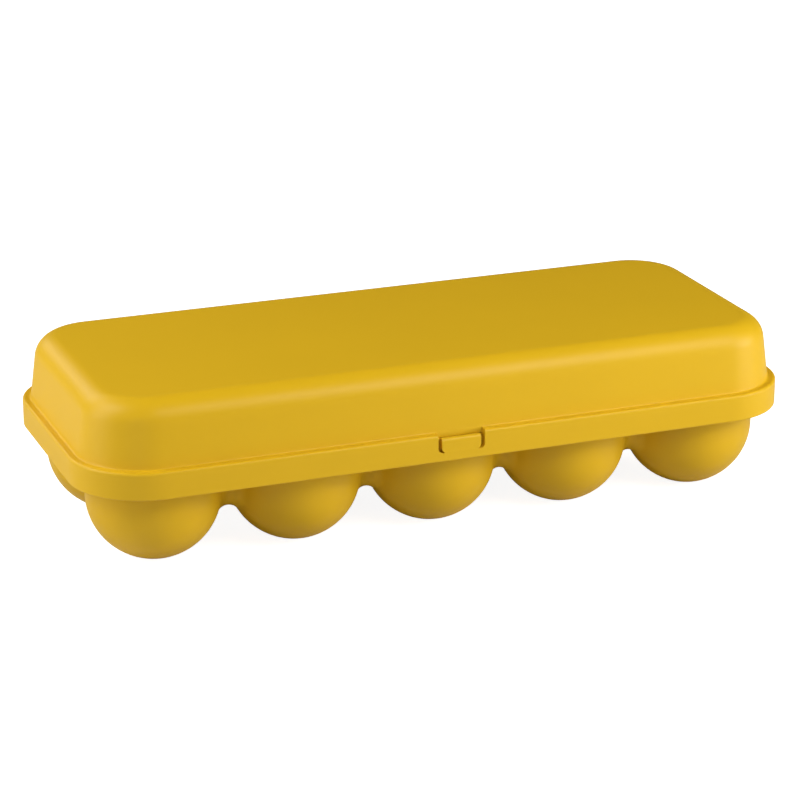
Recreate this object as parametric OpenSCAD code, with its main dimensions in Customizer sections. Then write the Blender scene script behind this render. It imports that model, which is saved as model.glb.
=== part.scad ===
// Egg keeper with a flip lid: a moulded tray of round cups under a domed lid.
// Millimetres. X runs along the box, the latch faces -Y, +Z is up, and Z = 0 is the table.

/* [Egg cups] */
// Number of cups along the box
cups_long = 5; // [2:1:6]
// Number of cups across the box
cups_wide = 2; // [2:1:3]
// Distance between neighbouring cup centres, both ways
cup_pitch = 52; // [50:0.5:55]
// Outer radius of a cup
cup_r = 24; // [23:0.25:24.5]
// Radius of the hollow blend in the saddle between two cups
saddle_r = 5.6; // [5:0.2:7]
// Height from the table to the widest section of the cups
cup_centre_z = 23.5; // [22.5:0.1:23.5]
// Thickness of the moulded walls
wall = 1.8; // [1.4:0.1:2.2]

/* [Rim] */
// Height from the table to the lower edge of the rim band
band_z = 31.9; // [30:0.1:36]
// Height of the rim band
band_h = 9.9; // [8.5:0.1:12]
// Distance from the outermost cup centres to the face of the rim band
rim_margin = 31.2; // [31:0.1:36]
// Corner radius of the rim band, seen from above
band_corner_r = 27.6; // [24:0.1:30]
// Radius on the upper edge of the rim band
band_edge_r = 0.7; // [0.5:0.1:1]
// Radius on the lower edges of the two skirts
skirt_edge_r = 0.4; // [0.2:0.1:0.6]
// Gap between the skirt of the lid and the skirt of the tray
skirt_gap = 0.4; // [0.3:0.05:0.6]
// How far the skirt of the tray ends above the skirt of the lid
skirt_step = 0.4; // [0.2:0.1:1]
// Gap between the flange of the lid and the deck of the tray
seat_gap = 0.2; // [0.1:0.05:0.4]

/* [Lid] */
// Height of the dome above the rim band
dome_h = 23.2; // [20:0.2:40]
// Width of the ledge from the face of the band to the foot of the dome
ledge_w = 3; // [2.8:0.1:4]
// Lean of the dome walls from the vertical, in degrees
dome_draft = 7.4; // [3:0.2:12]
// Radius around the top edge of the dome
dome_edge_r = 8.6; // [6:0.2:12]
// Radius of the hollow blend at the foot of the dome
foot_r = 1.6; // [1:0.1:1.7]

/* [Hinges] */
// Distance between the two hinges, middle to middle
hinge_spacing = 156; // [100:1:170]
// Outer radius of a hinge knuckle
knuckle_r = 2.9; // [2.6:0.1:3.2]
// Width of the knuckle on the lid
lid_knuckle_w = 9; // [6:0.5:14]
// Width of each of the two knuckles on the tray
tray_knuckle_w = 5; // [3:0.5:8]
// Side gap between two knuckles
knuckle_side_gap = 0.4; // [0.3:0.1:0.6]
// Gap between a knuckle and the skirt that swings round it
knuckle_gap = 0.3; // [0.25:0.05:0.5]
// Height of the hinge axis above the lower edge of the band
hinge_rise = 0.3; // [0:0.05:0.5]
// Radius of the hinge pins
pin_r = 1.25; // [1:0.05:1.5]
// Clearance round the pin in the knuckle of the lid
pin_play = 0.08; // [0.05:0.01:0.1]
// Clearance round the pin in the knuckles of the tray
pin_grip_play = 0.02; // [0.01:0.01:0.04]
// Radius of the flat head of a pin
pin_head_r = 2; // [1.8:0.1:2.4]
// Thickness of the flat head of a pin
pin_head_t = 0.8; // [0.6:0.1:1.2]

/* [Latch] */
// Width of the window in the skirt of the lid
window_w = 17.7; // [15:0.1:24]
// Height of the sill that is left under the window
sill_h = 3.2; // [2.6:0.1:3.6]
// Corner radius at the bottom of the window
window_corner_r = 1.8; // [1.4:0.1:2]
// Gap on each side between the latch tongue and the window
tongue_side_gap = 1.45; // [1:0.05:1.6]
// Thickness of the latch tongue
tongue_t = 1.6; // [1.4:0.1:1.7]
// How far the face of the tongue lies behind the face of the band
tongue_inset = 0.1; // [0.05:0.05:0.3]
// How far the tongue ends below the top of the band
tongue_drop = 1.4; // [1:0.1:1.6]
// Radius on the outer top edge of the tongue
tongue_edge_r = 1.3; // [0.6:0.1:1.3]
// Radius of the round bead on which the tongue bends at its root
root_r = 0.9; // [0.8:0.05:1]
// Gap between the bead and the sill
root_gap = 0.1; // [0.05:0.05:0.15]
// How far the front of the tongue ends above the sill, which lets it lean out
foot_gap = 0.3; // [0.25:0.05:0.5]
// Width of the hook on the back of the tongue
hook_w = 8; // [6:0.5:11]
// How far the hook stands out from the back of the tongue
hook_l = 1; // [0.8:0.1:1.2]
// Height of the hook
hook_h = 1.8; // [1.4:0.1:2.2]
// Height of the sloping lead-in under the tip of the hook
hook_lead = 1.1; // [0.8:0.1:1.3]
// Gap between the top of the hook and the level of the lid's flange
hook_top_gap = 0.4; // [0.3:0.05:0.6]
// Gap round the hook in the notch of the tray
notch_gap = 0.5; // [0.4:0.1:0.8]

/* [Hidden] */
$fn = 64;
// How deep one solid sinks into another that it would only touch
eps = 0.01;
// How far a bead lies behind a flat face that it would only touch
bead_inset = 0.05;
// How far a cutter reaches past the solid that it cuts
over = 1;
// A block under the table, which cuts the flats on the cups
table = [600, 300, 100];

// Heights of the faces that meet in the rim
band_top = band_z + band_h;
lid_top = band_top + dome_h;
flange_z = band_top - wall;
deck_top = flange_z - seat_gap;
deck_z = deck_top - wall;

// The rounded rectangles of the rim all turn about these four corner centres
corner_x = cup_pitch * (cups_long - 1) / 2 + rim_margin - band_corner_r;
corner_y = cup_pitch * (cups_wide - 1) / 2 + rim_margin - band_corner_r;

// Distances outward from the line through the corner centres
lid_skirt_out = band_corner_r;
lid_skirt_in = lid_skirt_out - wall;
tray_skirt_out = lid_skirt_in - skirt_gap;
tray_skirt_in = tray_skirt_out - wall;
dome_foot = lid_skirt_out - ledge_w;

// The edge rounding of the dome turns about this point of the section
edge_z = lid_top - dome_edge_r;
edge_out = dome_foot - (edge_z + dome_edge_r * sin(dome_draft) - band_top) * tan(dome_draft)
    - dome_edge_r * cos(dome_draft);

// A ball of radius saddle_r that rolls between two cups runs on a circle of this radius
saddle_track = sqrt(pow(cup_r + saddle_r, 2) - pow(cup_pitch / 2, 2));
// The ball is drawn this much larger, so that the waist cuts the cups instead of grazing them
saddle_bite = 1.005;

// The hinge axis lies behind the rim, and the whole box is centred over its footprint
hinge_y = corner_y + lid_skirt_out + knuckle_gap + knuckle_r;
hinge_z = band_z + hinge_rise;
box_shift_y = -(hinge_y + knuckle_r - (corner_y + lid_skirt_out)) / 2;
pin_l = 2 * tray_knuckle_w + lid_knuckle_w + 2 * knuckle_side_gap;

// The latch tongue fills the window of the lid, with its hook in a notch of the tray
front_y = -(corner_y + lid_skirt_out);
window_z = band_z + sill_h;
tongue_w = window_w - 2 * tongue_side_gap;
tongue_front_y = front_y + tongue_inset;
tongue_back_y = tongue_front_y + tongue_t;
root_y = tongue_front_y + root_r + bead_inset;
root_z = window_z + root_gap + root_r;
tongue_top = band_top - tongue_drop;
hook_z = flange_z - hook_top_gap - hook_h;

box_yellow = "gold";

// Carries a section round the rim: its X is the distance outward, its Y the height
module around_rim() {
    for (side = [0:3]) {
        along = side % 2 == 0 ? corner_y : corner_x;
        out = side % 2 == 0 ? corner_x : corner_y;
        rotate([0, 0, 90 * side])
            translate([out, along, 0]) {
                rotate_extrude(angle = 90) children();
                rotate([90, 0, 0]) linear_extrude(2 * along) children();
            }
    }
}

// The flat middle of a plate, between the corner centres
module middle_plate(z) {
    translate([0, 0, z + wall / 2]) cube([2 * corner_x, 2 * corner_y, wall], center = true);
}

// What a straight corner loses, or a hollow one gains, when it gets a radius
module corner_piece(r) {
    difference() {
        square(r);
        translate([r, r]) circle(r);
    }
}

// Places one copy of its children at each cup
module at_cups() {
    for (i = [0:cups_long - 1], j = [0:cups_wide - 1])
        translate([cup_pitch * (i - (cups_long - 1) / 2), cup_pitch * (j - (cups_wide - 1) / 2), 0])
            children();
}

// Places one copy of its children at each saddle, with X across the saddle
module at_saddles() {
    for (i = [0:cups_long - 2], j = [0:cups_wide - 1])
        translate([cup_pitch * (i + 1 - cups_long / 2), cup_pitch * (j - (cups_wide - 1) / 2), 0])
            children();
    for (i = [0:cups_long - 1], j = [0:cups_wide - 2])
        translate([cup_pitch * (i - (cups_long - 1) / 2), cup_pitch * (j + 1 - cups_wide / 2), 0])
            rotate([0, 0, 90]) children();
}

// One cup and the straight wall above it, as a half section; inset is 0 outside, one wall inside
module cup_half(inset, top) {
    r = cup_r - inset;
    intersection() {
        translate([0, cup_centre_z]) circle(r);
        translate([0, cup_centre_z - r]) square(r);
    }
    translate([0, cup_centre_z]) square([r, top - cup_centre_z]);
}

// Half of the waist between two cups, as a ball rolling round between them would leave it
module saddle_half(inset) {
    ball = (saddle_r + inset) * saddle_bite;
    waist = saddle_track - saddle_r - inset;
    reach = cup_pitch / 2 * (saddle_r + inset) / (cup_r + saddle_r);
    difference() {
        translate([0, -reach]) square([saddle_track, 2 * reach]);
        translate([waist + ball, 0]) circle(ball);
    }
}

// The space that the cups fill, up to a height; inset is 0 outside and one wall inside
module cup_bodies(inset, top) {
    at_cups() rotate_extrude() cup_half(inset, top);
    at_saddles()
        translate([0, 0, cup_centre_z]) {
            rotate([0, 90, 0]) rotate([0, 0, -90]) rotate_extrude(angle = 180) saddle_half(inset);
            linear_extrude(top - cup_centre_z)
                for (turn = [90, -90]) rotate(turn) saddle_half(inset);
        }
}

// Section of the deck of the tray and of its skirt, with the lower edges rounded
module tray_section() {
    foot = band_z + skirt_step;
    translate([0, deck_z]) square([tray_skirt_out, wall]);
    difference() {
        translate([tray_skirt_in, foot]) square([wall, deck_top - foot]);
        translate([tray_skirt_in, foot]) corner_piece(skirt_edge_r);
        translate([tray_skirt_out, foot]) mirror([1, 0]) corner_piece(skirt_edge_r);
    }
}

// One arm of the tray under the skirt of the lid, with its knuckle
module tray_knuckle() {
    arm_y = corner_y + tray_skirt_in;
    arm_top = band_z - skirt_step;
    rotate([90, 0, 90])
        linear_extrude(tray_knuckle_w, center = true) {
            translate([hinge_y, hinge_z]) circle(knuckle_r);
            translate([arm_y, hinge_z - knuckle_r])
                square([hinge_y - arm_y, arm_top - hinge_z + knuckle_r]);
            translate([arm_y, hinge_z - knuckle_r])
                square([wall, deck_z - hinge_z + knuckle_r]);
        }
}

// Places the two knuckles of the tray at each hinge
module at_tray_knuckles() {
    for (x = [-hinge_spacing / 2, hinge_spacing / 2], side = [-1, 1])
        translate([x + side * (lid_knuckle_w / 2 + knuckle_side_gap + tray_knuckle_w / 2), 0, 0])
            children();
}

// A bar along both hinges, for the bores
module hinge_bore(r) {
    for (x = [-hinge_spacing / 2, hinge_spacing / 2])
        translate([x, hinge_y, hinge_z])
            rotate([0, 90, 0]) cylinder(r = r, h = pin_l + 2 * over, center = true);
}

// The notch in the rim that the hook of the tongue stands in
module hook_notch() {
    notch = [hook_w + 2 * notch_gap, 2 * wall, band_h];
    translate([-notch[0] / 2, tongue_back_y + hook_l + notch_gap - notch[1], hook_z - notch_gap])
        cube(notch);
}

module tray() {
    color(box_yellow)
        translate([0, box_shift_y, 0])
            difference() {
                union() {
                    middle_plate(deck_z);
                    around_rim() tray_section();
                    cup_bodies(0, deck_z + eps);
                    at_tray_knuckles() tray_knuckle();
                }
                cup_bodies(wall, deck_top + over);
                translate([0, 0, -table[2] / 2]) cube(table, center = true);
                hinge_bore(pin_r + pin_grip_play);
                hook_notch();
            }
}

// The space under the dome; inset is 0 outside and one wall inside
module dome_region(inset) {
    r = dome_edge_r - inset;
    touch = [edge_out + r * cos(dome_draft), edge_z + r * sin(dome_draft)];
    foot = touch[0] + (touch[1] - flange_z) * tan(dome_draft);
    polygon([
        [0, flange_z],
        [foot, flange_z],
        touch,
        [edge_out, edge_z],
        [edge_out, edge_z + r],
        [0, edge_z + r]
    ]);
    translate([edge_out, edge_z]) circle(r);
}

// Section of the lid from the middle of its top to the foot of its skirt
module lid_section() {
    difference() {
        union() {
            difference() {
                dome_region(0);
                dome_region(wall);
            }
            difference() {
                translate([dome_foot - wall / 2, flange_z])
                    square([lid_skirt_out - dome_foot + wall / 2, wall]);
                dome_region(wall);
            }
            translate([lid_skirt_in, band_z]) square([wall, band_h]);
            translate([dome_foot - foot_r * tan(dome_draft), band_top]) corner_piece(foot_r);
        }
        translate([lid_skirt_out, band_top]) rotate(180) corner_piece(band_edge_r);
        translate([lid_skirt_out, band_z]) mirror([1, 0]) corner_piece(skirt_edge_r);
        translate([lid_skirt_in, band_z]) corner_piece(skirt_edge_r);
    }
}

// An upright panel with round lower corners, facing -Y: the window, or the tongue in it
module latch_panel(w, z, r) {
    translate([0, front_y - over, 0])
        rotate([-90, 0, 0])
            linear_extrude(ledge_w + over)
                mirror([0, 1]) {
                    for (x = [r - w / 2, w / 2 - r])
                        translate([x, z + r]) circle(r);
                    translate([r - w / 2, z]) square([w - 2 * r, band_h]);
                    translate([-w / 2, z + r]) square([w, band_h]);
                }
}

// One knuckle of the lid with the gusset that joins it to the skirt
module lid_knuckle() {
    arm_y = corner_y + lid_skirt_out - wall / 2;
    rotate([90, 0, 90])
        linear_extrude(lid_knuckle_w, center = true) {
            translate([hinge_y, hinge_z]) circle(knuckle_r);
            polygon([
                [arm_y, band_z + skirt_edge_r],
                [hinge_y, hinge_z - knuckle_r],
                [hinge_y + knuckle_r, hinge_z],
                [hinge_y + knuckle_r, hinge_z + knuckle_r / 2],
                [arm_y, band_top - 2 * band_edge_r]
            ]);
        }
}

module lid() {
    color(box_yellow)
        translate([0, box_shift_y, 0])
            difference() {
                union() {
                    around_rim() lid_section();
                    middle_plate(lid_top - wall);
                    for (x = [-hinge_spacing / 2, hinge_spacing / 2])
                        translate([x, 0, 0]) lid_knuckle();
                }
                latch_panel(window_w, window_z, window_corner_r);
                hinge_bore(pin_r + pin_play);
            }
}

// Section of the plate of the tongue
module tongue_section() {
    difference() {
        polygon([
            [tongue_back_y, root_z],
            [root_y, root_z - root_r / 2],
            [tongue_front_y, window_z + foot_gap],
            [tongue_front_y, tongue_top],
            [tongue_back_y, tongue_top]
        ]);
        translate([tongue_front_y, tongue_top]) mirror([0, 1]) corner_piece(tongue_edge_r);
    }
}

// The snap tongue: a plate on a round bead, with a hook on its back
module latch_tongue() {
    color(box_yellow)
        translate([0, box_shift_y, 0]) {
            intersection() {
                rotate([90, 0, 90])
                    union() {
                        linear_extrude(tongue_w, center = true) tongue_section();
                        translate([root_y, root_z, 0])
                            cylinder(r = root_r, h = tongue_w, center = true);
                    }
                latch_panel(tongue_w, window_z, window_corner_r - root_gap);
            }
            rotate([90, 0, 90])
                linear_extrude(hook_w, center = true)
                    polygon([
                        [tongue_back_y - tongue_t / 2, hook_z],
                        [tongue_back_y + hook_l, hook_z + hook_lead],
                        [tongue_back_y + hook_l, hook_z + hook_h],
                        [tongue_back_y - tongue_t / 2, hook_z + hook_h]
                    ]);
        }
}

// A pin with a flat head on its outer end
module hinge_pin() {
    rotate([0, 90, 0]) cylinder(r = pin_r, h = pin_l, center = true);
    translate([pin_l / 2, 0, 0]) rotate([0, 90, 0]) cylinder(r = pin_head_r, h = pin_head_t);
}

module hinge_pin_left() {
    color(box_yellow)
        translate([-hinge_spacing / 2, hinge_y + box_shift_y, hinge_z]) mirror([1, 0, 0]) hinge_pin();
}

module hinge_pin_right() {
    color(box_yellow)
        translate([hinge_spacing / 2, hinge_y + box_shift_y, hinge_z]) hinge_pin();
}

tray();
lid();
latch_tongue();
hinge_pin_left();
hinge_pin_right();
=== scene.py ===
import math

import bmesh
import bpy
import numpy as np
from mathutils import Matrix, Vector


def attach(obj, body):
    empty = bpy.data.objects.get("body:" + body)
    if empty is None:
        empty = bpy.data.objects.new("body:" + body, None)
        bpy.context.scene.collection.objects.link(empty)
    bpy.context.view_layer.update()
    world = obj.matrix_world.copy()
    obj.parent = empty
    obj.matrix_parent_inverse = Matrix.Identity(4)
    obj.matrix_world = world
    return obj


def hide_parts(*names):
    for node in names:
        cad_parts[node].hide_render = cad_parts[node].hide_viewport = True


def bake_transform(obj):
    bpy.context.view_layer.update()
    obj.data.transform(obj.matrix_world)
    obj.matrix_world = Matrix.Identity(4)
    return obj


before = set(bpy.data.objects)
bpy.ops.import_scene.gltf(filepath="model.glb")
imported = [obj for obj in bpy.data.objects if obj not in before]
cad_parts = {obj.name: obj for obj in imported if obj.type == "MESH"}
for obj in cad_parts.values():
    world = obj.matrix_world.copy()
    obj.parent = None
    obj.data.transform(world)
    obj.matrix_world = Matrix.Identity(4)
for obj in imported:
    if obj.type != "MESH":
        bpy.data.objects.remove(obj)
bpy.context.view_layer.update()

# The camera stands in front of the box and to its left, as the photographer's did, and looks down
# on it at 19 degrees through a long lens. Its place was worked out from the rim and the cups.
camera_place = Vector((-0.36298, -0.93301, 0.38534))
camera_target = Vector((-0.01352, -0.03496, 0.0475))
camera_data = bpy.data.cameras.new("camera")
camera_data.sensor_fit = "HORIZONTAL"
camera_data.sensor_width = 36
camera_data.lens = 128.83
camera = bpy.data.objects.new("camera", camera_data)
camera.location = camera_place
camera.rotation_euler = (camera_target - camera_place).to_track_quat("-Z", "Y").to_euler()
bpy.context.collection.objects.link(camera)
bpy.context.scene.camera = camera
bpy.context.scene.view_settings.view_transform = "Standard"

# The studio is a white room: a pale floor that keeps the shadow, and white all round it. The camera
# sees the room as plain white, but its own light on the box is faint: six soft lamps shape the box.
room_fill, seen_white = 0.04, 1.0
world = bpy.data.worlds.new("white_room")
bpy.context.scene.world = world
world.use_nodes = True
room_nodes, room_links = world.node_tree.nodes, world.node_tree.links
room_nodes.clear()
room_out = room_nodes.new("ShaderNodeOutputWorld")
room_mix = room_nodes.new("ShaderNodeMixShader")
room_light = room_nodes.new("ShaderNodeBackground")
room_light.inputs["Color"].default_value = (1, 1, 1, 1)
room_light.inputs["Strength"].default_value = room_fill
room_seen = room_nodes.new("ShaderNodeBackground")
room_seen.inputs["Color"].default_value = (1, 1, 1, 1)
room_seen.inputs["Strength"].default_value = seen_white
room_rays = room_nodes.new("ShaderNodeLightPath")
room_links.new(room_rays.outputs["Is Camera Ray"], room_mix.inputs["Fac"])
room_links.new(room_light.outputs[0], room_mix.inputs[1])
room_links.new(room_seen.outputs[0], room_mix.inputs[2])
room_links.new(room_mix.outputs[0], room_out.inputs["Surface"])

floor_half, floor_grey, floor_seen_glow = 3.0, 0.66, 0.9
floor_corners = np.array([(-1, -1, 0), (1, -1, 0), (1, 1, 0), (-1, 1, 0)]) * floor_half
floor_mesh = bpy.data.meshes.new("floor")
floor_mesh.from_pydata(floor_corners.tolist(), [], [(0, 1, 2, 3)])
floor = bpy.data.objects.new("floor", floor_mesh)
bpy.context.collection.objects.link(floor)
floor_paint = bpy.data.materials.new("pale_floor")
floor_paint.use_nodes = True
floor_nodes, floor_links = floor_paint.node_tree.nodes, floor_paint.node_tree.links
floor_nodes.clear()
floor_out = floor_nodes.new("ShaderNodeOutputMaterial")
floor_sum = floor_nodes.new("ShaderNodeAddShader")
floor_diffuse = floor_nodes.new("ShaderNodeBsdfDiffuse")
floor_diffuse.inputs["Color"].default_value = (floor_grey, floor_grey, floor_grey, 1)
floor_glow = floor_nodes.new("ShaderNodeEmission")
floor_glow.inputs["Color"].default_value = (1, 1, 1, 1)
floor_rays = floor_nodes.new("ShaderNodeLightPath")
floor_gain = floor_nodes.new("ShaderNodeMath")
floor_gain.operation = "MULTIPLY"
floor_gain.inputs[1].default_value = floor_seen_glow
floor_links.new(floor_rays.outputs["Is Camera Ray"], floor_gain.inputs[0])
floor_links.new(floor_gain.outputs[0], floor_glow.inputs["Strength"])
floor_links.new(floor_diffuse.outputs[0], floor_sum.inputs[0])
floor_links.new(floor_glow.outputs[0], floor_sum.inputs[1])
floor_links.new(floor_sum.outputs[0], floor_out.inputs["Surface"])
floor_mesh.materials.append(floor_paint)


def softbox(name, turn, lift, distance, watts):
    """A square lamp that faces the middle of the box and is half as wide as it is far away. It
    stands at that distance in the direction turned from the front to the right, and lifted from the
    level, by the angles in degrees."""
    turn, lift = math.radians(turn), math.radians(lift)
    middle = Vector((0, 0, 0.04))
    away = Vector((math.sin(turn) * math.cos(lift), -math.cos(turn) * math.cos(lift), math.sin(lift)))
    data = bpy.data.lights.new(name, "AREA")
    data.size = distance / 2
    data.energy = watts
    lamp = bpy.data.objects.new(name, data)
    lamp.location = middle + away * distance
    lamp.rotation_euler = (-away).to_track_quat("-Z", "Y").to_euler()
    lamp.visible_camera = False
    bpy.context.collection.objects.link(lamp)


softbox("right_low_softbox", turn=60, lift=12, distance=0.9, watts=4.5)
softbox("right_high_softbox", turn=30, lift=42, distance=0.75, watts=2.8)
softbox("left_high_softbox", turn=-95, lift=42, distance=0.75, watts=2.55)
softbox("left_low_softbox", turn=-95, lift=12, distance=0.75, watts=1.6)
softbox("front_softbox", turn=-30, lift=12, distance=1.5, watts=2.0)
softbox("back_softbox", turn=-150, lift=30, distance=1.3, watts=4.0)

# The lid is one moulding of dyed polypropylene: a domed cover that leans in as it rises, a narrow
# ledge at its foot, and an upright rim band that hangs over the tray. Its section is carried round
# the four corner centres of the rim, and the window for the latch is cut through the front.
wall = 0.0018
shift_y = -0.00305
corner_x, corner_y = 0.1076, 0.0296
band_foot, band_top, lid_top = 0.0319, 0.0418, 0.065
band_out, dome_foot = 0.0276, 0.0246
flange_under = band_top - wall
dome_lean = math.radians(7.4)
dome_edge = 0.0086
edge_z, top_middle = lid_top - dome_edge, 0.002
edge_out = (
    dome_foot
    - (edge_z + dome_edge * math.sin(dome_lean) - band_top) * math.tan(dome_lean)
    - dome_edge * math.cos(dome_lean)
)


def arc(centre, radius, start, stop, steps):
    """Points on a circle: the centre plus the radius times the cosine and sine of evenly spaced
    turns in degrees."""
    turn = np.radians(np.linspace(start, stop, steps + 1))
    return np.stack([centre[0] + radius * np.cos(turn), centre[1] + radius * np.sin(turn)], axis=1)


def straight(start, stop, support=0.0004):
    """Points on a straight run, with one close to each end so that the shading stays flat between
    them."""
    start, stop = np.asarray(start, float), np.asarray(stop, float)
    share = min(0.4, support / np.linalg.norm(stop - start))
    return start + (stop - start) * np.array([[0.0], [share], [1 - share], [1.0]])


def one_line(*runs):
    """Joins runs of points into one profile and drops each point that repeats the one before it."""
    points = np.concatenate(runs)
    keep = np.ones(len(points), bool)
    keep[1:] = np.linalg.norm(np.diff(points, axis=0), axis=1) > 1e-7
    return points[keep]


def rim_stations(corner_steps=28, long_steps=26, short_steps=8):
    """Stations round the rim, anticlockwise from the right: the point on the rectangle of corner
    centres, and the direction outwards. On a straight side the point moves and the direction stays;
    at a corner the point stays and the direction turns through 90 degrees."""
    base, out = [], []
    corners = [(1, -1), (1, 1), (-1, 1), (-1, -1)]
    for side in range(4):
        here = np.array(corners[side]) * (corner_x, corner_y)
        there = np.array(corners[(side + 1) % 4]) * (corner_x, corner_y)
        steps = short_steps if side % 2 == 0 else long_steps
        share = np.linspace(0, 1, steps + 1)[:, None]
        turn = np.radians(90 * side)
        base.append(here + (there - here) * share)
        out.append(np.tile([np.cos(turn), np.sin(turn)], (steps + 1, 1)))
        turns = np.radians(90 * side + np.linspace(0, 90, corner_steps + 1))[1:-1]
        base.append(np.tile(there, (len(turns), 1)))
        out.append(np.stack([np.cos(turns), np.sin(turns)], axis=1))
    return np.concatenate(base), np.concatenate(out)


def carried_round(profile, base, out):
    """Vertices and faces of a profile carried round the rim: a vertex lies at the station's point
    plus the outward direction times the profile's first value, at the height of its second. The
    rings at its two ends are filled flat by the last two faces."""
    stations, rows = len(base), len(profile)
    flat = base[:, None, :] + out[:, None, :] * profile[None, :, :1]
    height = np.broadcast_to(profile[None, :, 1:], (stations, rows, 1))
    points = np.concatenate([flat, height], axis=2)
    points[..., 1] += shift_y
    index = np.arange(stations * rows).reshape(stations, rows)
    after = np.roll(index, -1, axis=0)
    corners = [index[:, :-1], after[:, :-1], after[:, 1:], index[:, 1:]]
    faces = np.stack(corners, axis=-1).reshape(-1, 4).tolist()
    faces += [index[:, 0].tolist(), index[::-1, -1].tolist()]
    return points.reshape(-1, 3), faces


def new_piece(name, parts, weld=2e-6, least_edge=1e-7):
    """Makes an object from (points, faces) parts: vertices closer than the weld become one, edges
    shorter than the least one are dropped, and the faces are turned outwards."""
    mesh = bpy.data.meshes.new(name)
    shape = bmesh.new()
    for points, faces in parts:
        part = bpy.data.meshes.new("part")
        part.from_pydata(points.tolist(), [], faces)
        shape.from_mesh(part)
        bpy.data.meshes.remove(part)
    bmesh.ops.remove_doubles(shape, verts=shape.verts, dist=weld)
    bmesh.ops.dissolve_degenerate(shape, edges=shape.edges, dist=least_edge)
    bmesh.ops.recalc_face_normals(shape, faces=shape.faces)
    shape.to_mesh(mesh)
    shape.free()
    piece = bpy.data.objects.new(name, mesh)
    bpy.context.collection.objects.link(piece)
    return piece


def prism(outline, axis, low, high):
    """A closed outline in the plane across an axis, drawn out along it from low to high, with flat
    ends."""
    count = len(outline)
    others = [k for k in range(3) if k != axis]
    points = np.zeros((2, count, 3))
    points[:, :, others[0]] = outline[:, 0]
    points[:, :, others[1]] = outline[:, 1]
    points[0, :, axis], points[1, :, axis] = low, high
    ring = np.arange(count)
    sides = np.stack([ring, np.roll(ring, -1), np.roll(ring, -1) + count, ring + count], axis=1)
    return points.reshape(-1, 3), sides.tolist() + [ring.tolist(), (ring + count).tolist()]


def combine(piece, other, operation):
    """Cuts the other shape from the piece, or joins it on, and deletes the other."""
    step = piece.modifiers.new(operation.lower(), "BOOLEAN")
    step.operation = operation
    step.solver = "EXACT"
    step.object = other
    bpy.context.view_layer.update()
    graph = bpy.context.evaluated_depsgraph_get()
    made = bpy.data.meshes.new_from_object(piece.evaluated_get(graph))
    piece.modifiers.remove(step)
    old = piece.data
    piece.data = made
    bpy.data.meshes.remove(old)
    bpy.data.objects.remove(other)


def dome_run(thickness, steps):
    """The top of the dome, as a flat run from near its middle and the arc round its edge, which
    ends where the leaning wall starts. The thickness is 0 on the outside and one wall on the
    inside."""
    radius = dome_edge - thickness
    rounded = arc((edge_out, edge_z), radius, 90, math.degrees(dome_lean), steps)
    return straight((top_middle, edge_z + radius), rounded[0]), rounded


ledge_fillet, band_edge, skirt_edge = 0.0008, 0.0010, 0.0004
outer_top, outer_round = dome_run(0, 20)
inner_top, inner_round = dome_run(wall, 16)


def on_wall(rounded, height):
    """Where the leaning wall, which goes on from the end of the rounded edge, is at a height."""
    return (rounded[-1][0] + (rounded[-1][1] - height) * math.tan(dome_lean), height)


fillet_centre_out = (
    on_wall(outer_round, band_top + ledge_fillet)[0] + ledge_fillet / math.cos(dome_lean)
)
foot_fillet = arc(
    (fillet_centre_out, band_top + ledge_fillet), ledge_fillet, 180 + math.degrees(dome_lean), 270, 6
)
lid_profile = one_line(
    outer_top,
    outer_round,
    straight(outer_round[-1], foot_fillet[0]),
    foot_fillet,
    straight(foot_fillet[-1], (band_out - band_edge, band_top), support=0.0002),
    arc((band_out - band_edge, band_top - band_edge), band_edge, 90, 0, 8),
    straight((band_out, band_top - band_edge), (band_out, band_foot + skirt_edge)),
    arc((band_out - skirt_edge, band_foot + skirt_edge), skirt_edge, 0, -90, 4),
    arc((band_out - wall + skirt_edge, band_foot + skirt_edge), skirt_edge, 270, 180, 4),
    straight((band_out - wall, band_foot + skirt_edge), (band_out - wall, flange_under)),
    straight((band_out - wall, flange_under), on_wall(inner_round, flange_under)),
    straight(on_wall(inner_round, flange_under), inner_round[-1]),
    inner_round[::-1],
    inner_top[::-1],
)
rim_base, rim_out = rim_stations()
lid = new_piece("lid_shell", [carried_round(lid_profile, rim_base, rim_out)])

window_wide, window_sill, window_round = 0.0177, 0.0351, 0.0018
ledge = band_out - dome_foot
tongue_wide, tongue_round = 0.0148, 0.0017
tongue_foot = tongue_wide / 2 - tongue_round
front_y = -(corner_y + band_out) + shift_y
over = 0.002


def upright_panel(wide, radius):
    """The outline of a panel that stands on the window's sill, as x and z: left side, two quarter
    circles, right side. On the sill it has a point at each end of the foot of the tongue."""
    half, top = wide / 2, lid_top
    return np.concatenate(
        [
            [(-half, top)],
            arc((-half + radius, window_sill + radius), radius, 180, 270, 8),
            [(-tongue_foot, window_sill), (tongue_foot, window_sill)],
            arc((half - radius, window_sill + radius), radius, 270, 360, 8),
            [(half, top)],
        ]
    )


window_shape = prism(upright_panel(window_wide, window_round), 1, front_y - over, front_y + ledge)
combine(lid, new_piece("window_cutter", [window_shape]), "DIFFERENCE")

# The lid's half of the hinge is two knuckles of the same plastic, moulded in one with the lid. Each
# stands off the back of the rim on a gusset, and turns on a pin.
hinge_y, hinge_z, knuckle = 0.0604 + shift_y, 0.0322, 0.0029
hinge_places = (-0.078, 0.078)
rear_y = corner_y + band_out + shift_y
lid_knuckle_wide, gusset_top = 0.009, 0.0404
lid_bore, lid_bore_wide = 0.00133, 0.02
gusset = np.array(
    [
        (rear_y - wall / 2, band_foot + skirt_edge),
        (hinge_y, hinge_z - knuckle),
        (hinge_y + knuckle, hinge_z),
        (hinge_y + knuckle, hinge_z + knuckle / 2),
        (rear_y - wall / 2, gusset_top),
    ]
)


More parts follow.
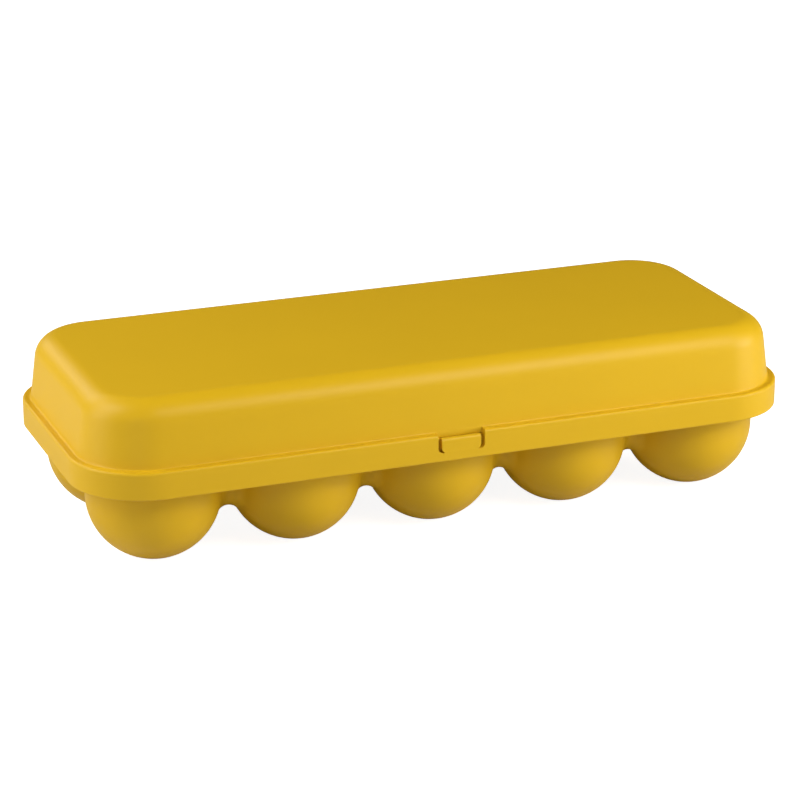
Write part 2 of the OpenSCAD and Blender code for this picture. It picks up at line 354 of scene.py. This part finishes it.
def across_hinges(name, outline, wide, places=hinge_places):
    """One shape for each place along the hinge axis: the outline drawn out sideways over the
    width."""
    return new_piece(name, [prism(outline, 0, x - wide / 2, x + wide / 2) for x in places])


def hinge_round(radius, steps=48):
    """A circle about the hinge axis, seen from the side."""
    return arc((hinge_y, hinge_z), radius, 0, 360, steps)[:-1]


combine(lid, across_hinges("lid_gussets", gusset, lid_knuckle_wide), "UNION")
combine(lid, across_hinges("lid_knuckles", hinge_round(knuckle), lid_knuckle_wide), "UNION")
combine(lid, across_hinges("lid_bores", hinge_round(lid_bore), lid_bore_wide), "DIFFERENCE")


def finish_moulding(piece, node, skin, soft_edge=0.00018, crease=32):
    """Shades a moulding smooth but for edges sharper than the crease, and rounds those a little, as
    a mould does. An edge where the foot of the tongue and the sill are one moulding isn't rounded:
    both its ends lie there on the sill."""
    mesh = piece.data
    mesh.polygons.foreach_set("use_smooth", [True] * len(mesh.polygons))
    mesh.set_sharp_from_angle(angle=math.radians(crease))
    rounded = np.zeros(len(mesh.edges), bool)
    mesh.attributes["sharp_edge"].data.foreach_get("value", rounded)
    places = np.zeros(len(mesh.vertices) * 3, np.float32)
    mesh.vertices.foreach_get("co", places)
    places = places.reshape(-1, 3)
    ends = np.zeros(len(mesh.edges) * 2, np.int32)
    mesh.edges.foreach_get("vertices", ends)
    near = 1e-6
    on_foot = (np.abs(places[:, 2] - window_sill) < near) & (np.abs(places[:, 0]) < tongue_foot + near)
    rounded &= ~on_foot[ends.reshape(-1, 2)].all(axis=1)
    weights = mesh.attributes.new("bevel_weight_edge", "FLOAT", "EDGE")
    weights.data.foreach_set("value", rounded.astype(np.float32))
    softened = piece.modifiers.new("soft_edges", "BEVEL")
    softened.width = soft_edge
    softened.segments = 2
    softened.limit_method = "WEIGHT"
    softened.harden_normals = True
    mesh.materials.clear()
    mesh.materials.append(skin)
    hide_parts(node)


def moulded_plastic(name, colour, uneven_dye=0.03, cloud_scale=22, grain_scale=2200, grain_deep=0.0001):
    """Dyed polypropylene with a soft gloss. One noise lets the dye vary from paler to deeper by its
    share, and a much finer one stands for the grain of the spark-eroded mould."""
    skin = bpy.data.materials.new(name)
    skin.use_nodes = True
    nodes, links = skin.node_tree.nodes, skin.node_tree.links
    shader = nodes["Principled BSDF"]
    place = nodes.new("ShaderNodeTexCoord")
    cloud = nodes.new("ShaderNodeTexNoise")
    cloud.inputs["Scale"].default_value = cloud_scale
    cloud.inputs["Detail"].default_value = 3
    tint = nodes.new("ShaderNodeMix")
    tint.data_type = "RGBA"
    tint.inputs["A"].default_value = (*[c * (1 - uneven_dye) for c in colour], 1)
    tint.inputs["B"].default_value = (*[min(1, c * (1 + uneven_dye)) for c in colour], 1)
    grain = nodes.new("ShaderNodeTexNoise")
    grain.inputs["Scale"].default_value = grain_scale
    grain.inputs["Detail"].default_value = 2
    bump = nodes.new("ShaderNodeBump")
    bump.inputs["Strength"].default_value = 0.08
    bump.inputs["Distance"].default_value = grain_deep
    links.new(place.outputs["Object"], cloud.inputs["Vector"])
    links.new(place.outputs["Object"], grain.inputs["Vector"])
    links.new(cloud.outputs["Fac"], tint.inputs["Factor"])
    links.new(tint.outputs["Result"], shader.inputs["Base Color"])
    links.new(grain.outputs["Fac"], bump.inputs["Height"])
    links.new(bump.outputs["Normal"], shader.inputs["Normal"])
    shader.inputs["Roughness"].default_value = 0.42
    shader.inputs["IOR"].default_value = 1.49
    shader.inputs["Specular IOR Level"].default_value = 0.25
    return skin


egg_yellow = moulded_plastic("egg_yellow_polypropylene", (0.72, 0.432, 0.009))
finish_moulding(lid, "lid", egg_yellow)
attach(lid, "lid")

# The latch tongue is a small springy pad in the lid's window, moulded in one with the sill that it
# stands on and level with the rim band there. It bends at its foot, its top is free, and a hook on
# its back reaches into a recess of the tray.
tongue_thick, tongue_top, tongue_edge, tongue_inset = 0.0016, 0.0404, 0.0013, 0.0001
tongue_front = front_y + tongue_inset
tongue_back = tongue_front + tongue_thick
bend_foot, bend_top = window_sill + 0.0001, window_sill + 0.002


def up_the_bend(foot_y, y, rows=14):
    """Points up one face of the foot of the tongue, in rows: the face eases over from its place on the
    sill to its place above, by half a cosine wave."""
    share = np.linspace(0, 1, rows + 1)
    eased = (1 - np.cos(np.pi * share)) / 2
    height = window_sill + (bend_top - window_sill) * share
    return np.stack([foot_y + (y - foot_y) * eased, height], axis=1)


tongue_outline = one_line(
    up_the_bend(front_y, tongue_front),
    arc((tongue_front + tongue_edge, tongue_top - tongue_edge), tongue_edge, 180, 90, 10),
    [(tongue_back, tongue_top)],
    up_the_bend(tongue_back, tongue_back)[::-1],
)
latch = new_piece("latch_tongue_skin", [prism(tongue_outline, 0, -tongue_wide / 2, tongue_wide / 2)])
tongue_shape = prism(upright_panel(tongue_wide, tongue_round), 1, front_y - over, tongue_back + over)
combine(latch, new_piece("tongue_shape", [tongue_shape]), "INTERSECT")
hook_wide, hook_long, hook_tall, hook_lead, hook_gap = 0.008, 0.001, 0.0018, 0.0011, 0.0004
hook_foot = flange_under - hook_gap - hook_tall
hook_root = tongue_back - tongue_thick / 2
hook_outline = np.array(
    [
        (hook_root, hook_foot),
        (tongue_back + hook_long, hook_foot + hook_lead),
        (tongue_back + hook_long, hook_foot + hook_tall),
        (hook_root, hook_foot + hook_tall),
    ]
)
combine(latch, new_piece("latch_hook", [prism(hook_outline, 0, -hook_wide / 2, hook_wide / 2)]), "UNION")
finish_moulding(latch, "latch_tongue", egg_yellow, soft_edge=0.0003)
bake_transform(latch)

# The tray is the lower moulding: ten round cups joined by hollow saddles, a flat deck round their
# mouths, and a short skirt under the edge of the deck. Its wall is the same thickness all over.
cups_long, cups_wide, cup_pitch = 5, 2, 0.052
cup_round, saddle_round, cup_middle = 0.024, 0.0056, 0.0235
half_pitch = cup_pitch / 2
saddle_track = math.sqrt((cup_round + saddle_round) ** 2 - half_pitch**2)
cup_meets_saddle = math.atan2(saddle_track, half_pitch)
deck_gap, rim_gap = 0.0002, 0.0004
deck_top = flange_under - deck_gap
deck_under = deck_top - wall
mouth_round, level_support = 0.0005, 0.0005
edge_leg, ball_rows = 8, 8
corner_off = np.radians([45.0])


def cube_edge(leg=edge_leg):
    """Directions on the edge of one half side face of a cube round a cup, from the left end of the
    cup's widest line, down, along the bottom and up to its right end: the angle off the face's
    axis, and the turn round it."""
    quarter = np.radians(np.linspace(0, 45, leg + 1))
    whole = np.radians(np.linspace(-45, 45, 2 * leg + 1))
    across = np.concatenate([-np.ones(leg + 1), np.tan(whole)[1:-1], np.ones(leg + 1)])
    down = np.concatenate([np.tan(quarter), np.ones(2 * leg - 1), np.tan(quarter)[::-1]])
    return np.arctan(np.hypot(across, down)), np.arctan2(down, across)


def cup_rows(off_axis, inset, joined, steps=ball_rows):
    """Rows from the cube's edge towards the face's axis, as distance along the axis and across it.
    The first run over the ball of the cup to where a saddle meets it. Then, on a joined side, they
    follow the saddle's circle to the middle between two cups; on a free side they go on over the
    ball to the axis."""
    share = np.linspace(0, 1, steps + 1)[None, :]
    ball = cup_round - inset
    off = off_axis[:, None] * (1 - share) + cup_meets_saddle * share
    along, across = ball * np.cos(off), ball * np.sin(off)
    if joined:
        hollow = saddle_round + inset
        swing = math.asin(half_pitch / (cup_round + saddle_round)) * (1 - share[:, 1:])
        more_along = half_pitch - hollow * np.sin(swing)
        more_across = saddle_track - hollow * np.cos(swing)
    else:
        off = cup_meets_saddle * (1 - share[:, 1:])
        more_along, more_across = ball * np.cos(off), ball * np.sin(off)
    count = len(off_axis)
    return (
        np.concatenate([along, np.repeat(more_along, count, axis=0)], axis=1),
        np.concatenate([across, np.repeat(more_across, count, axis=0)], axis=1),
    )


def grid_faces(rows, columns):
    """Quads between neighbouring points of a grid stored row by row."""
    index = np.arange(rows * columns).reshape(rows, columns)
    corners = [index[:-1, :-1], index[1:, :-1], index[1:, 1:], index[:-1, 1:]]
    return np.stack(corners, axis=-1).reshape(-1, 4).tolist()


ways = [(1, 0), (0, 1), (-1, 0), (0, -1)]


def cup_centre(i, j):
    """The middle of a cup on plan, before the whole box is moved over its footprint."""
    return np.array([(i - (cups_long - 1) / 2) * cup_pitch, (j - (cups_wide - 1) / 2) * cup_pitch])


def neighbour(i, j, way):
    """Whether there is another cup on that side of this one."""
    return 0 <= i + ways[way][0] < cups_long and 0 <= j + ways[way][1] < cups_wide


def beside_cup(centre, way, along, sideways, height):
    """Points at a distance along one way from the middle of a cup, at a distance to the left of
    that way, and at a height."""
    ux, uy = way
    x = centre[0] + ux * along - uy * sideways
    y = centre[1] + uy * along + ux * sideways
    return np.stack([x, y, height], axis=-1)


def cup_skin(i, j, inset, levels, foot):
    """The skin of one cup: four side faces below its widest line, the upright wall over each, drawn
    up through the levels (pairs of inset and height), and the bottom. The bottom runs over the ball
    to its middle, or only down to the foot, if that depth below the widest line is given, and goes
    on level."""
    centre = cup_centre(i, j)
    off_axis, turn = cube_edge()
    parts = []
    for k, way in enumerate(ways):
        joined = neighbour(i, j, k)
        along, across = cup_rows(off_axis, inset, joined)
        side, down = across * np.cos(turn)[:, None], across * np.sin(turn)[:, None]
        points = beside_cup(centre, way, along, side, cup_middle - down)
        parts.append((points.reshape(-1, 3), grid_faces(*along.shape)))
        for hand in (-1, 1):
            lines = []
            for level_inset, height in levels:
                out, sideways = cup_rows(corner_off, level_inset, joined)
                out, sideways = out[0], hand * sideways[0]
                lines.append(beside_cup(centre, way, out, sideways, np.full_like(out, height)))
            wall_points = np.stack(lines)
            parts.append((wall_points.reshape(-1, 3), grid_faces(*wall_points.shape[:2])))
    leg = np.tan(np.radians(np.linspace(-45, 45, 2 * edge_leg + 1)))
    reach = np.hypot(1, leg)
    foot_off = math.acos(foot / (cup_round - inset)) if foot else 0.0
    share = np.linspace(0, 1, ball_rows + 1)[None, :]
    off = np.arctan(reach)[:, None] * (1 - share) + foot_off * share
    across, down = (cup_round - inset) * np.sin(off), (cup_round - inset) * np.cos(off)
    if foot:
        foot_rings = np.array([[0.9, 0.5, 0.0]])
        across = np.concatenate([across, across[:, -1:] * foot_rings], axis=1)
        down = np.concatenate([down, np.full((len(leg), foot_rings.size), foot)], axis=1)
    for ux, uy in ways:
        facing_x, facing_y = (ux - uy * leg) / reach, (uy + ux * leg) / reach
        x = centre[0] + facing_x[:, None] * across
        y = centre[1] + facing_y[:, None] * across
        points = np.stack([x, y, cup_middle - down], axis=-1)
        parts.append((points.reshape(-1, 3), grid_faces(*across.shape)))
    return parts


def quarter_outline(i, j, way, inset):
    """The cup's outline on plan from one way to the next, through the corner between them."""
    lines = []
    for turn, hand in ((way, 1), ((way + 1) % 4, -1)):
        ux, uy = ways[turn]
        along, across = cup_rows(corner_off, inset, neighbour(i, j, turn))
        along, across = along[0], hand * across[0]
        place = np.stack([ux * along - uy * across, uy * along + ux * across], axis=1)
        lines.append(place + cup_centre(i, j))
    return np.concatenate([lines[0][::-1], lines[1][1:]])


def deck_outline(inset):
    """The outline of all the cups together, anticlockwise: every quarter outline that faces the
    rim."""
    last, top_row = cups_long - 1, cups_wide - 1
    walk = [(last, 0, 3), (last, 0, 0)]
    walk += [(last, top_row, 3), (last, top_row, 0), (last, top_row, 1)]
    walk += [(i, top_row, way) for i in range(last - 1, 0, -1) for way in (0, 1)]
    walk += [(0, top_row, 0), (0, top_row, 1), (0, top_row, 2), (0, 0, 1), (0, 0, 2), (0, 0, 3)]
    walk += [(i, 0, way) for i in range(1, last) for way in (2, 3)] + [(last, 0, 2)]
    return np.concatenate([quarter_outline(i, j, way, inset)[:-1] for i, j, way in walk])


def rim_beside(outline):
    """For each point of the cups' outline, the point of the corner rectangle beside it and the
    direction outwards: along a side the place is stretched to the rectangle's length, and round an
    end cup the turn is kept."""
    last = np.abs(cup_centre(cups_long - 1, cups_wide - 1))
    size, sign = np.abs(outline), np.sign(outline)
    past = size - last
    past_x, past_y = past[:, 0] > 1e-9, past[:, 1] > 1e-9
    corner = (past_x & past_y)[:, None]
    end = (past_x & ~past_y)[:, None]
    on_end = np.stack([np.full(len(size), corner_x), size[:, 1] * corner_y / last[1]], axis=1)
    on_side = np.stack([size[:, 0] * corner_x / last[0], np.full(len(size), corner_y)], axis=1)
    base = sign * np.where(corner, (corner_x, corner_y), np.where(end, on_end, on_side))
    turned = past / np.maximum(np.linalg.norm(past, axis=1), 1e-12)[:, None]
    out = sign * np.where(corner, turned, np.where(end, (1.0, 0.0), (0.0, 1.0)))
    return base, out


def flat_between(inner, outer, height, shares):
    """A level strip between two closed outlines of equally many points: rows at shares of the way
    across."""
    level = np.full((len(inner), 1), height)
    rows = [np.concatenate([inner * (1 - s) + outer * s, level], axis=1) for s in shares]
    points = np.stack([np.concatenate([row, row[:1]]) for row in rows])
    return points.reshape(-1, 3), grid_faces(*points.shape[:2])


cap_shares, deck_shares = (0, 0.3, 0.7, 1), (0, 0.1, 0.95, 1)


def post_cap(i, j, inset, height):
    """The level cap between four cups: rings that shrink from their four quarter outlines to the
    middle."""
    corner = cup_centre(i, j) + half_pitch
    cells = [(i, j, 0), (i + 1, j, 1), (i + 1, j + 1, 2), (i, j + 1, 3)]
    outline = np.concatenate([quarter_outline(a, b, way, inset)[::-1][:-1] for a, b, way in cells])
    return flat_between(outline, np.tile(corner, (len(outline), 1)), height, cap_shares)


mouth_turn = np.radians(np.linspace(0, 90, 5))
mouth_levels = [
    (wall, cup_middle),
    (wall, cup_middle + level_support),
    (wall, deck_top - mouth_round - level_support),
]
mouth_levels += [
    (wall - mouth_round * (1 - math.cos(t)), deck_top - mouth_round * (1 - math.sin(t)))
    for t in mouth_turn
]
outer_levels = [
    (0, cup_middle),
    (0, cup_middle + level_support),
    (0, deck_under - level_support),
    (0, deck_under),
]
skirt_out, skirt_in = band_out - wall - rim_gap, band_out - 2 * wall - rim_gap
skirt_foot, deck_edge = band_foot + rim_gap, 0.0003
tray_parts = []
for i in range(cups_long):
    for j in range(cups_wide):
        tray_parts += cup_skin(i, j, 0, outer_levels, cup_middle)
        tray_parts += cup_skin(i, j, wall, mouth_levels, None)
for i in range(cups_long - 1):
    tray_parts.append(post_cap(i, 0, 0, deck_under))
    tray_parts.append(post_cap(i, 0, wall - mouth_round, deck_top))
mouth_outline = deck_outline(wall - mouth_round)
tray_base, tray_out = rim_beside(mouth_outline)
deck_rim, under_rim = tray_base + tray_out * (skirt_out - deck_edge), tray_base + tray_out * skirt_in
tray_parts.append(flat_between(mouth_outline, deck_rim, deck_top, deck_shares))
tray_parts.append(flat_between(deck_outline(0), under_rim, deck_under, deck_shares))
skirt_profile = one_line(
    arc((skirt_out - deck_edge, deck_top - deck_edge), deck_edge, 90, 0, 4),
    straight((skirt_out, deck_top - deck_edge), (skirt_out, skirt_foot + skirt_edge)),
    arc((skirt_out - skirt_edge, skirt_foot + skirt_edge), skirt_edge, 0, -90, 4),
    arc((skirt_in + skirt_edge, skirt_foot + skirt_edge), skirt_edge, 270, 180, 4),
    straight((skirt_in, skirt_foot + skirt_edge), (skirt_in, deck_under)),
)
skirt_points, skirt_faces = carried_round(skirt_profile, tray_base, tray_out)
skirt_points[:, 1] -= shift_y
end_fills = 2
tray_parts.append((skirt_points, skirt_faces[:-end_fills]))
tray = new_piece("tray_shell", [(points + (0, shift_y, 0), faces) for points, faces in tray_parts])

# The hook's recess is cut into the edge of the tray's deck at the front. At the back, the tray's
# hinge knuckles are moulded on short arms that hang from its deck and skirt, one on each side of
# each knuckle of the lid.
notch_gap = 0.0005
notch_half = hook_wide / 2 + notch_gap
notch_back, notch_foot = tongue_back + hook_long + notch_gap, hook_foot - notch_gap
notch = np.array(
    [
        (notch_back - 2 * wall, notch_foot),
        (notch_back, notch_foot),
        (notch_back, band_top),
        (notch_back - 2 * wall, band_top),
    ]
)
combine(tray, new_piece("notch_cutter", [prism(notch, 0, -notch_half, notch_half)]), "DIFFERENCE")
knuckle_wide, knuckle_step = 0.005, 0.0074
knuckle_places = [x + side * knuckle_step for x in hinge_places for side in (-1, 1)]
tray_bore, tray_bore_wide = 0.00127, 0.03
arm_y, arm_top = corner_y + skirt_in + shift_y, band_foot - rim_gap
arm = np.array(
    [
        (arm_y, hinge_z - knuckle),
        (hinge_y, hinge_z - knuckle),
        (hinge_y, arm_top),
        (arm_y + wall, arm_top),
        (arm_y + wall, deck_under),
        (arm_y, deck_under),
    ]
)
combine(tray, across_hinges("tray_arms", arm, knuckle_wide, knuckle_places), "UNION")
combine(tray, across_hinges("tray_knuckles", hinge_round(knuckle), knuckle_wide, knuckle_places), "UNION")
combine(tray, across_hinges("tray_bores", hinge_round(tray_bore), tray_bore_wide), "DIFFERENCE")
finish_moulding(tray, "tray", egg_yellow)
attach(tray, "tray")

# The two hinge pins are plain rods of the same plastic with a flat head on the outer end, pressed
# through the knuckles. Their solids are shown as they are, in the tray's material.
for node_name in ("hinge_pin_left", "hinge_pin_right"):
    for material_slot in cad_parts[node_name].material_slots:
        material_slot.material = egg_yellow
